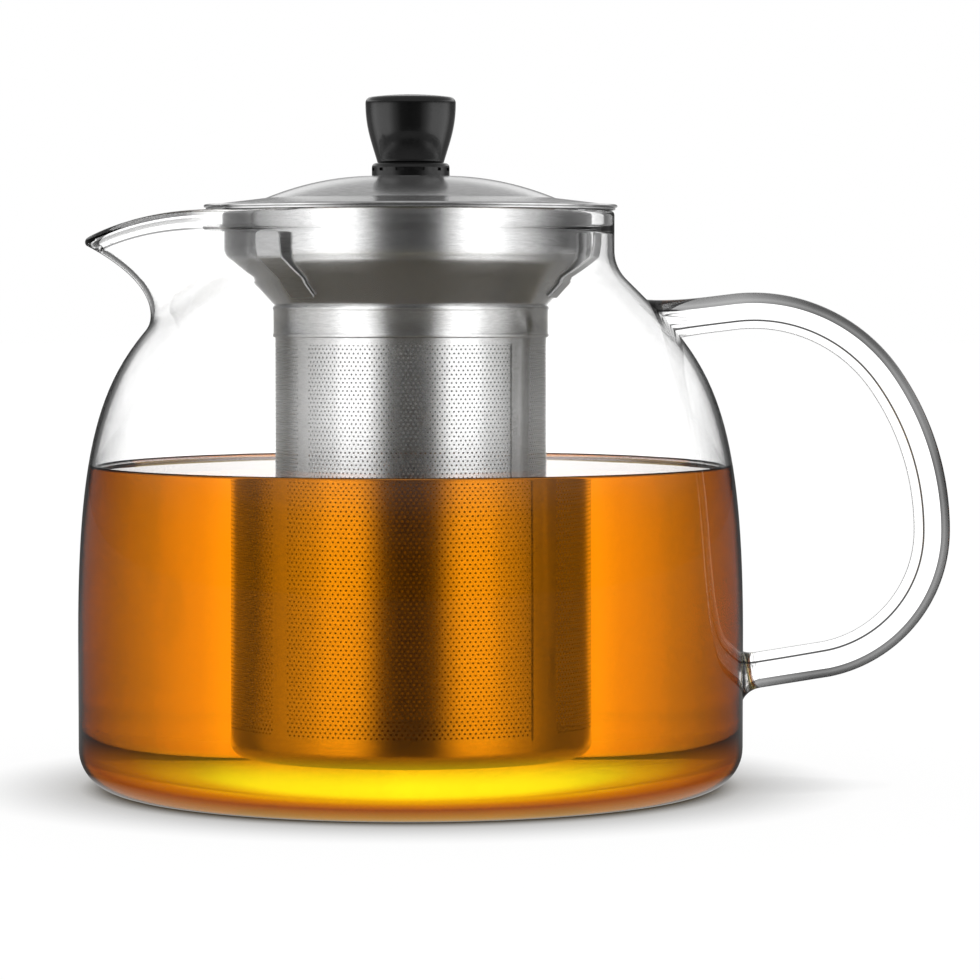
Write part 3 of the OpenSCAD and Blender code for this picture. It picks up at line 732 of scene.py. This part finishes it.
# Steel in the tea doesn't show the glow
unseen = maths(tree, "MAXIMUM", inside, maths(tree, "MULTIPLY", in_shine, from_tea))
feed(tree, shader, {
    # The tint is taken once, where light towards the eye leaves the tea
    "Base Color": squared(tree, mixed(tree, inside, tint, WHITE)),
    "Emission Color": mixed(tree, unseen, thrown, BLACK), "Emission Strength": 1.0,
    "Roughness": mapped(tree, noise(tree, place, scale=40.0, detail=1.0), 0.0, 1.0, to_high=0.01),
    "IOR": 1.33, "Specular Tint": BLACK, "Transmission Weight": 1.0})
absorb = node(tree, "VolumeAbsorption", {"Color": (1.0, 0.85, 0.2), "Density": 16.0})
feed(tree, tree.nodes["Material Output"], {"Volume": absorb.outputs[0]})
tea = turned("tea", tea_outline, "pot_body", tea_finish, crease=40)

# ---- Infuser collar ----
# Pressed from half-millimetre stainless sheet: a flange that lies on the glass rim, a straight
# funnel and a cone down to the strainer. Brushed around the axis on a lathe.

SHEET_T = 0.5 * MM
FLANGE_R, FUNNEL_R, FUNNEL_H, FLANGE_BEND_R = 40.8 * MM, 36.1 * MM, 5.8 * MM, 1.4 * MM
SHOULDER_R, CONE_ANGLE = 6 * MM, radians(47)
STRAINER_R, BAND_H = 27.1 * MM, 6 * MM


def sheet(path, thickness, end_steps=4):
    """Closed outline of a sheet with round edges, its thickness to the left of the path."""
    path = list(path)
    half = thickness / 2
    path[0] = path[0] + half * (path[1] - path[0]).normalized()
    path[-1] = path[-1] + half * (path[-2] - path[-1]).normalized()
    last = len(path) - 1
    left = []
    for i in range(last + 1):
        a = (path[max(i, 1)] - path[max(i, 1) - 1]).normalized()
        b = (path[min(i, last - 1) + 1] - path[min(i, last - 1)]).normalized()
        left.append(path[i] + thickness * (to_left(a) + to_left(b)) / (1 + a.dot(b)))

    def edge(start, end):
        centre, across = (start + end) / 2, (start - end) / 2
        turns = [pi * i / end_steps for i in range(1, end_steps)]
        return [centre + across * cos(t) + to_left(across) * sin(t) for t in turns]

    return path + edge(path[-1], left[-1]) + left[::-1] + edge(left[0], path[0])


# Fine lines around the axis, as a lathe brush leaves them, and wide dull smears
brushing, given = effect("lathe_brushing", {"Lines per metre": "Float", "Lines around": "Float"},
                         {"Lines": "Float", "Smears": "Float"})
place = own_place(brushing)
flat = vectors(brushing, "MULTIPLY", place, (1, 1, 0))
around = node(brushing, "VectorMath", {0: vectors(brushing, "NORMALIZE", flat), "Scale": given[1]},
              operation="SCALE").outputs[0]
height = node(brushing, "SeparateXYZ", {0: place}).outputs["Z"]
across = maths(brushing, "ADD", vectors(brushing, "LENGTH", flat), height)
across = node(brushing, "CombineXYZ", {2: maths(brushing, "MULTIPLY", across, given[0])})
spot = vectors(brushing, "ADD", around, across.outputs[0])
feed(brushing, brushing.nodes.new("NodeGroupOutput"), {
    0: noise(brushing, spot, scale=1.0, detail=4.0, Roughness=0.7),
    1: noise(brushing, place, scale=55.0, detail=2.0)})
LINES_AROUND = 14.0
# Where the steel is worn its roughness grows by this factor
WORN = 1.2


def brushed_steel(name, lines, dark=0.74, light=0.92, rough=0.22, relief=0.08, stretch=0.75):
    """Stainless steel, brushed around the axis, from its darkest to its lightest line."""
    made, tree, shader = material(name)
    grain, smears = node(tree, "Group", {0: lines, 1: LINES_AROUND}, node_tree=brushing).outputs
    turn = node(tree, "Tangent", direction_type="RADIAL", axis="Z")
    feed(tree, shader, {
        "Base Color": mixed(tree, mapped(tree, grain, 0.3, 0.7), dark, light),
        "Roughness": mapped(tree, smears, 0.35, 0.7, rough, rough * WORN),
        "Normal": bump(tree, grain, relief, distance=0.05 * MM), "Tangent": turn.outputs[0],
        "Metallic": 0.97, "Anisotropic": stretch, "Anisotropic Rotation": 0.25})
    return made


shoulder_centre = at(FUNNEL_R - SHOULDER_R, RIM_Z - FLANGE_BEND_R - FUNNEL_H)
cone_top = shoulder_centre + SHOULDER_R * at(sin(CONE_ANGLE), -cos(CONE_ANGLE))
band_top_z = cone_top.y - (cone_top.x - STRAINER_R) * tan(CONE_ANGLE)
tube_top_z = band_top_z - BAND_H / 2
collar_path = [at(STRAINER_R, tube_top_z), at(STRAINER_R, band_top_z)]
collar_path += arc(shoulder_centre, SHOULDER_R, CONE_ANGLE - pi / 2, 0, steps=18)
collar_path += arc((FUNNEL_R + FLANGE_BEND_R, RIM_Z - FLANGE_BEND_R), FLANGE_BEND_R,
                   pi, pi / 2, steps=10)
collar_path.append(at(FLANGE_R, RIM_Z))
collar_steel = brushed_steel("collar_steel", lines=3200.0, dark=0.76, relief=0.12)
collar = turned("infuser_funnel", sheet(collar_path, SHEET_T), "infuser", collar_steel,
                segments=256)
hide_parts("infuser_collar")

# ---- Band ----
# A short ring of the same sheet, pressed over the joint of funnel and strainer and spot-welded.
# Both of its edges are slightly rolled.

ROLL_H, ROLL_OUT, ROLL_STEPS = 0.45 * MM, 0.14 * MM, 8
band_low_z = band_top_z - BAND_H
band_r = STRAINER_R + SHEET_T - ROLL_OUT


def roll(z):
    """A rolled edge of the band, around a height."""
    shares = [i / ROLL_STEPS for i in range(ROLL_STEPS + 1)]
    return [at(band_r + ROLL_OUT * sin(pi * s), z + ROLL_H * (2 * s - 1)) for s in shares]


band_outline = ([at(STRAINER_R, band_low_z)] + roll(band_low_z + ROLL_H)
                + roll(band_top_z - ROLL_H) + [at(STRAINER_R, band_top_z)])
band_steel = brushed_steel("band_steel", lines=4200.0, rough=0.18, relief=0.1)
band = turned("joint_band", band_outline, "infuser", band_steel, segments=224)
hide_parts("collar_band")

# ---- Strainer tube ----
# Sheet etched with round holes in staggered rows, rolled into a tube and lap-welded along its
# length. Edges, the lap and one strip stay without holes.

HOLE_PITCH, ROW_PITCH, HOLE_R = 0.95 * MM, 0.8 * MM, 0.21 * MM
FOOT_Z, CUP_H = 7 * MM, 5 * MM
HOLES_LOW_Z, HOLES_HIGH_Z = 13.2 * MM, 88.9 * MM
PLAIN_FROM, PLAIN_ANGLE = radians(-143), radians(7)
# The tube's skin is drawn this little inside the band, so that the two don't share a face
TUBE_INSET = 0.02 * MM
tube_low_z = FOOT_Z + CUP_H
around = 2 * (round(pi * STRAINER_R / HOLE_PITCH) // 2 * 2)
cell = 2 * pi / around
levels = int((HOLES_HIGH_Z - HOLES_LOW_Z) / ROW_PITCH) + 1
# The lap: a narrow strip of the sheet's other edge, lying on the tube up to a gap below the band.
# Its two sides are bevelled, over a share of its width, and reach down into the tube.
LAP_FROM, LAP_ANGLE, LAP_T, LAP_GAP = radians(-43), radians(12), 0.25 * MM, 1 * MM
LAP_STEPS, LAP_SINK, BEVEL, BEVEL_T = 12, 0.1 * MM, 0.02, 0.6 * LAP_T
points, faces = [], []


def on_tube(angle, z, out=0.0):
    """Adds a point on the tube and gives its number."""
    r = STRAINER_R - TUBE_INSET + out
    points.append((r * cos(angle), r * sin(angle), z))
    return len(points) - 1


def joined(low, high):
    """Faces between two rings with as many points each."""
    return list(zip(low, low[1:] + low[:1], high[1:] + high[:1], high))


def plain(angle):
    """True where the sheet has no holes."""
    strips = ((LAP_FROM, LAP_ANGLE), (PLAIN_FROM, PLAIN_ANGLE))
    return any((angle - start) % (2 * pi) < width for start, width in strips)


# Corners of the six-sided cells: a zigzag ring between each two rows, and one at either end
zigzag = []
for level in range(levels + 1):
    z = HOLES_LOW_Z + (level - 0.5) * ROW_PITCH
    zigzag.append([on_tube((i + level % 2) / 2 * cell, z + ROW_PITCH / (-6 if i % 2 else 6))
                   for i in range(2 * around)])


def corner(level, half_cells):
    """Corner of a zigzag ring at a number of half cells around."""
    return zigzag[level][(half_cells - level % 2) % (2 * around)]


for level in range(levels):
    z = HOLES_LOW_Z + level * ROW_PITCH
    for i in range(around):
        # The cell's middle stands over a low corner of the ring below it
        middle = 2 * i + 1 + level % 2
        corners = [corner(level + up, middle + aside)
                   for up, aside in ((0, 0), (0, 1), (1, 1), (1, 0), (1, -1), (0, -1))]
        angle = middle / 2 * cell
        if plain(angle):
            faces.append(corners)
            continue
        turns = [pi / 3 * k - pi / 2 for k in range(len(corners))]
        hole = [on_tube(angle + HOLE_R * cos(turn) / STRAINER_R, z + HOLE_R * sin(turn))
                for turn in turns]
        faces += joined(corners, hole)
for level, z in ((0, tube_low_z), (levels, tube_top_z)):
    edge = [on_tube((i + level % 2) / 2 * cell, z) for i in range(2 * around)]
    faces += joined(zigzag[level], edge)

section = [(0, -LAP_SINK), (0, BEVEL_T), (BEVEL, LAP_T)]
section += [(k / LAP_STEPS, LAP_T) for k in range(1, LAP_STEPS)]
section += [(1 - BEVEL, LAP_T), (1, BEVEL_T), (1, -LAP_SINK)]
low_line, high_line = ([on_tube(LAP_FROM + LAP_ANGLE * s, z, out) for s, out in section]
                       for z in (tube_low_z, band_low_z - LAP_GAP))
faces += joined(low_line, high_line)[:-1] + [low_line[::-1], high_line]
tube_steel = brushed_steel("strainer_steel", lines=2600.0, light=0.9)
# Inside the sheet stands a screen that only rays through the holes meet. It shows them the far
# side at its evened-out brightness, without the blotches of holes that line up with holes.
SCREEN_IN, SCREEN_STEPS, FAR_SIDE_OPEN = 0.3 * MM, 96, 0.1
sheet_faces = len(faces)
faces += joined(*([on_tube(2 * pi * i / SCREEN_STEPS, z, -SCREEN_IN)
                   for i in range(SCREEN_STEPS)]
                  for z in (HOLES_LOW_Z - ROW_PITCH, HOLES_HIGH_Z + ROW_PITCH)))
screen_steel = brushed_steel("strainer_inside", lines=2600.0, dark=0.7, light=0.8, rough=0.5,
                             relief=0.05)
# From outside the screen is clear. A ray that has passed it meets it again on the far side, from
# inside, and where it passes there too it finds the sheet behind it clear.
for finish, times, outer_cover, inner_cover in (
        (tube_steel, 2, 1.0, 0.0), (screen_steel, 1, 0.0, 1 - FAR_SIDE_OPEN)):
    tree = finish.node_tree
    depth = node(tree, "LightPath").outputs["Transparent Depth"]
    back = node(tree, "NewGeometry").outputs["Backfacing"]
    inside = maths(tree, "MULTIPLY", back, at_least(tree, depth, times))
    cover = mapped(tree, inside, 0.0, 1.0, outer_cover, inner_cover)
    feed(tree, tree.nodes["Principled BSDF"], {"Alpha": cover})
tube = piece("perforated_tube", points, faces, "infuser", tube_steel, crease=25)
tube.data.materials.append(screen_steel)
for face in tube.data.polygons[sheet_faces:]:
    face.material_index = 1
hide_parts("strainer_tube")

# ---- Strainer base ----
# A shallow cup pressed from the sheet of the tube, which closes its foot. It is welded edge to
# edge under the tube.

CUP_EDGE_R = 3 * MM
cup_centre = (STRAINER_R - CUP_EDGE_R, FOOT_Z + CUP_EDGE_R)
cup_outline = [at(0, FOOT_Z), at(STRAINER_R * 0.5, FOOT_Z)]
cup_outline += arc(cup_centre, CUP_EDGE_R, -pi / 2, 0, steps=10)
cup_outline += [at(STRAINER_R, tube_low_z), at(STRAINER_R - SHEET_T, tube_low_z)]
cup_outline += arc(cup_centre, CUP_EDGE_R - SHEET_T, 0, -pi / 2, steps=10)
cup_outline.append(at(0, FOOT_Z + SHEET_T))
cup_steel = brushed_steel("cup_steel", lines=2600.0, light=0.9)
cup = turned("strainer_cup", cup_outline, "infuser", cup_steel)
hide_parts("strainer_base")

# ---- Spring clips ----
# Three strips of spring steel, each with its foot welded to the funnel's cone. Their straight
# tabs press outwards in the neck and keep the infuser from falling out when the pot is tilted.

CLIP_W, CLIP_T, CLIP_FOOT, CLIP_TAB_H = 6.5 * MM, 0.45 * MM, 3.5 * MM, 5.6 * MM
# How far the tabs reach out at rest, clear of the bead of the rim
CLIP_REACH = NECK_R - BEAD_T - 0.6 * MM
WELD_GAP, FOOT_GAP, BEND_IN = 0.05 * MM, 1.2 * MM, 0.4 * MM
ARM_OPEN = radians(4)
CLIP_CORNER_R, CLIP_BEND_R, CORNER_STEPS = CLIP_W / 4, 0.9 * MM, 8
# A bend takes at most this share of the straight to either side
BEND_SHARE = 0.45
cone_along = towards(CONE_ANGLE)


def rounded(path, radius, steps=5):
    """A path with its inner corners rounded."""
    made = [path[0]]
    for before, corner, after in zip(path, path[1:], path[2:]):
        a, b = (before - corner).normalized(), (after - corner).normalized()
        half = acos(max(-1, min(1, a.dot(b)))) / 2
        run = min(radius / tan(half), BEND_SHARE * (before - corner).length,
                  BEND_SHARE * (after - corner).length)
        start, end = corner + a * run, corner + b * run
        for i in range(steps + 1):
            t = i / steps
            made.append(start.lerp(corner, t).lerp(corner.lerp(end, t), t))
    return made + [path[-1]]


foot_run = STRAINER_R + SHEET_T + FOOT_GAP
foot_low = at(foot_run, band_top_z + (foot_run - STRAINER_R) * tan(CONE_ANGLE))
foot_low -= WELD_GAP * to_left(cone_along)
foot_high = foot_low + CLIP_FOOT * cone_along
clip_in_r = CLIP_REACH - CLIP_T
arm_run = clip_in_r - BEND_IN - foot_high.x
arm_end = foot_high + arm_run * at(1, tan(CONE_ANGLE - ARM_OPEN))
clip_path = rounded([
    foot_low, foot_high, arm_end, at(clip_in_r, arm_end.y + CLIP_TAB_H / 2),
    at(clip_in_r, arm_end.y + CLIP_TAB_H)], CLIP_BEND_R)
# The tab's end is finely stepped, to round its corners
tab_top = clip_path[-1].y
clip_path = clip_path[:-1] + [
    at(clip_in_r, tab_top - CLIP_CORNER_R * cos(pi / 2 * i / CORNER_STEPS))
    for i in range(CORNER_STEPS + 1)]
spring_steel = brushed_steel("spring_steel", lines=1500.0, dark=0.76, rough=0.28, stretch=0.3)
for name, angle in (("front", -15), ("left", -135), ("back", 105)):
    spin = Matrix.Rotation(radians(angle), 3, "Z")
    points, faces, rings = [], [], []
    for i, p in enumerate(clip_path):
        along = (clip_path[min(i + 1, len(clip_path) - 1)] - clip_path[max(i - 1, 0)]).normalized()
        out = p - CLIP_T * to_left(along)
        rest = max(CLIP_CORNER_R - (tab_top - p.y), 0)
        half = CLIP_W / 2 - CLIP_CORNER_R + sqrt(max(CLIP_CORNER_R ** 2 - rest ** 2, 0))
        rings.append([len(points) + k for k in range(4)])
        points += [spin @ Vector((q.x, side, q.y))
                   for q, side in ((p, -half), (p, half), (out, half), (out, -half))]
    for low, high in zip(rings, rings[1:]):
        faces += joined(low, high)
    faces += [(0, 3, 2, 1), rings[-1]]
    clip = piece(f"clip_strip_{name}", points, faces, f"clip_{name}", spring_steel)
    soften = clip.modifiers.new("soft_edges", "BEVEL")
    soften.width, soften.segments, soften.limit_method = 0.07 * MM, 2, "ANGLE"
    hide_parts(f"spring_clip_{name}")

# ---- Lid ----
# Pressed steel with a wide sloping brim, a crease and a low dome, brushed around the axis all
# over. A skirt ring is welded under it and drops into the funnel.

LID_T, BRIM_R, BRIM_FLAT = 0.6 * MM, 41.2 * MM, 1.6 * MM
DOME_R, BRIM_RISE, DOME_RISE = 28.8 * MM, 1.3 * MM, 4.4 * MM
SKIRT_H, SKIRT_GAP = 6.5 * MM, 0.5 * MM
RING_R, SEAT_LEDGE = 7.75 * MM, 0.35 * MM
HOLE_IN_LID_R = 2.2 * MM
flange_top = RIM_Z + SHEET_T
crease_z = flange_top + BRIM_RISE
seat_under_z = crease_z + DOME_RISE
seat_r = RING_R - SEAT_LEDGE
crest = at((seat_r + DOME_R) / 2, seat_under_z)
seat, crease_point = at(seat_r, seat_under_z), at(DOME_R, crease_z)
lid_path = [at(HOLE_IN_LID_R, seat_under_z)]
lid_path += cubic(seat, seat.lerp(crest, 2 / 3), crease_point.lerp(crest, 2 / 3), crease_point,
                  steps=28)
lid_path += [at(BRIM_R - BRIM_FLAT, flange_top), at(BRIM_R, flange_top)]
lid_steel = brushed_steel("lid_steel", lines=2800.0, dark=0.68, light=0.86, rough=0.15)
lid = turned("lid_cover", sheet(lid_path, LID_T), "lid", lid_steel, segments=256, crease=12)
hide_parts("lid_shell")


def brim_under_z(r):
    run = BRIM_R - BRIM_FLAT
    return flange_top + BRIM_RISE * (run - r) / (run - DOME_R)


skirt_out = FUNNEL_R - SHEET_T - SKIRT_GAP
skirt_in = skirt_out - LID_T
skirt_low = flange_top - SKIRT_H
skirt_outline = [at(skirt_out, brim_under_z(skirt_out))]
skirt_outline += arc(((skirt_out + skirt_in) / 2, skirt_low + LID_T / 2), LID_T / 2, 0, -pi,
                     steps=8)
skirt_outline.append(at(skirt_in, brim_under_z(skirt_in)))
skirt = turned("lid_skirt_ring", skirt_outline, "lid", lid_steel)
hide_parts("lid_skirt")

# ---- Knob and its ring ----
# Glossy black heat-proof plastic: a ring with small vents in its side, and a turned knob with a
# threaded brass insert. One screw from below holds both to the lid.

RING_H, KNOB_H, KNOB_TOP_R, KNOB_FOOT_R = 2.6 * MM, 13.6 * MM, 9 * MM, 6.7 * MM
INSERT_R, INSERT_L = 3.2 * MM, 8 * MM
FOOT_EDGE_R, TOP_EDGE_R, TOP_EDGE_TURN = 0.4 * MM, 1.2 * MM, radians(80)
CROWN, CROWN_STEPS = 0.5 * MM, 6
# Shares of the knob's height that shape its flare
FOOT_OUT, FOOT_UP, TOP_DOWN = 0.09, 0.3, 0.35
PLASTIC_BLACK = 0.003


def gloss_plastic(name, rough, coat):
    """Moulded plastic, polished, with fine hairlines and the faint orange peel of its mould."""
    made, tree, shader = material(name)
    place = own_place(tree)
    peel = noise(tree, place, scale=260.0, detail=2.0)
    hair = noise(tree, place, scale=1400.0, detail=3.0)
    feed(tree, shader, {
        "Base Color": multiplied(tree, PLASTIC_BLACK, mapped(tree, peel, 0.0, 1.0, 0.75, 1.25)),
        "Roughness": mapped(tree, hair, 0.4, 0.75, rough, rough * 1.8),
        "Normal": bump(tree, peel, strength=0.05, distance=0.05 * MM),
        "Coat Weight": coat, "Coat Roughness": 0.05})
    return made


knob_z = seat_under_z + LID_T + RING_H
knob_top_z = knob_z + KNOB_H
side_foot = at(KNOB_FOOT_R, knob_z + FOOT_EDGE_R)
side_top = at(KNOB_TOP_R, knob_top_z - CROWN - TOP_EDGE_R)
knob_outline = [at(0, knob_z + INSERT_L), at(INSERT_R, knob_z + INSERT_L), at(INSERT_R, knob_z)]
knob_outline += arc((KNOB_FOOT_R - FOOT_EDGE_R, knob_z + FOOT_EDGE_R), FOOT_EDGE_R,
                    -pi / 2, 0, steps=6)
knob_outline += cubic(side_foot, side_foot + KNOB_H * at(FOOT_OUT, FOOT_UP),
                      side_top - at(0, KNOB_H * TOP_DOWN), side_top, steps=32)[1:]
knob_outline += arc((KNOB_TOP_R - TOP_EDGE_R, knob_top_z - CROWN - TOP_EDGE_R), TOP_EDGE_R,
                    0, TOP_EDGE_TURN, steps=10)[1:]
crown_edge = knob_outline[-1]
for k in range(1, CROWN_STEPS + 1):
    out = 1 - k / CROWN_STEPS
    rise = (knob_top_z - crown_edge.y) * (1 - out ** 2)
    knob_outline.append(at(crown_edge.x * out, crown_edge.y + rise))
knob_black = gloss_plastic("knob_black", rough=0.14, coat=0.3)
knob = turned("black_knob", knob_outline, "lid", knob_black, segments=128, crease=50)
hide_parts("knob")

ring_black = gloss_plastic("ring_black", rough=0.16, coat=0.2)
brass, tree, shader = material("thread_brass")
tarnish = node(tree, "TexNoise", {"Scale": 700.0, "Detail": 3.0}).outputs["Fac"]
feed(tree, shader, {"Metallic": 1.0,
                    "Base Color": mixed(tree, tarnish, (0.55, 0.38, 0.13), (0.86, 0.66, 0.3)),
                    "Roughness": mapped(tree, tarnish, 0.0, 1.0, 0.2, 0.45)})
screw_steel = brushed_steel("screw_steel", lines=5000.0, dark=0.5, light=0.75, rough=0.28,
                            relief=0.1, stretch=0.3)
for name, finish in (("knob_collar", ring_black), ("knob_insert", brass),
                     ("knob_screw", screw_steel), ("screw_washer", screw_steel)):
    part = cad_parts[name]
    part.data.materials.clear()
    part.data.materials.append(finish)
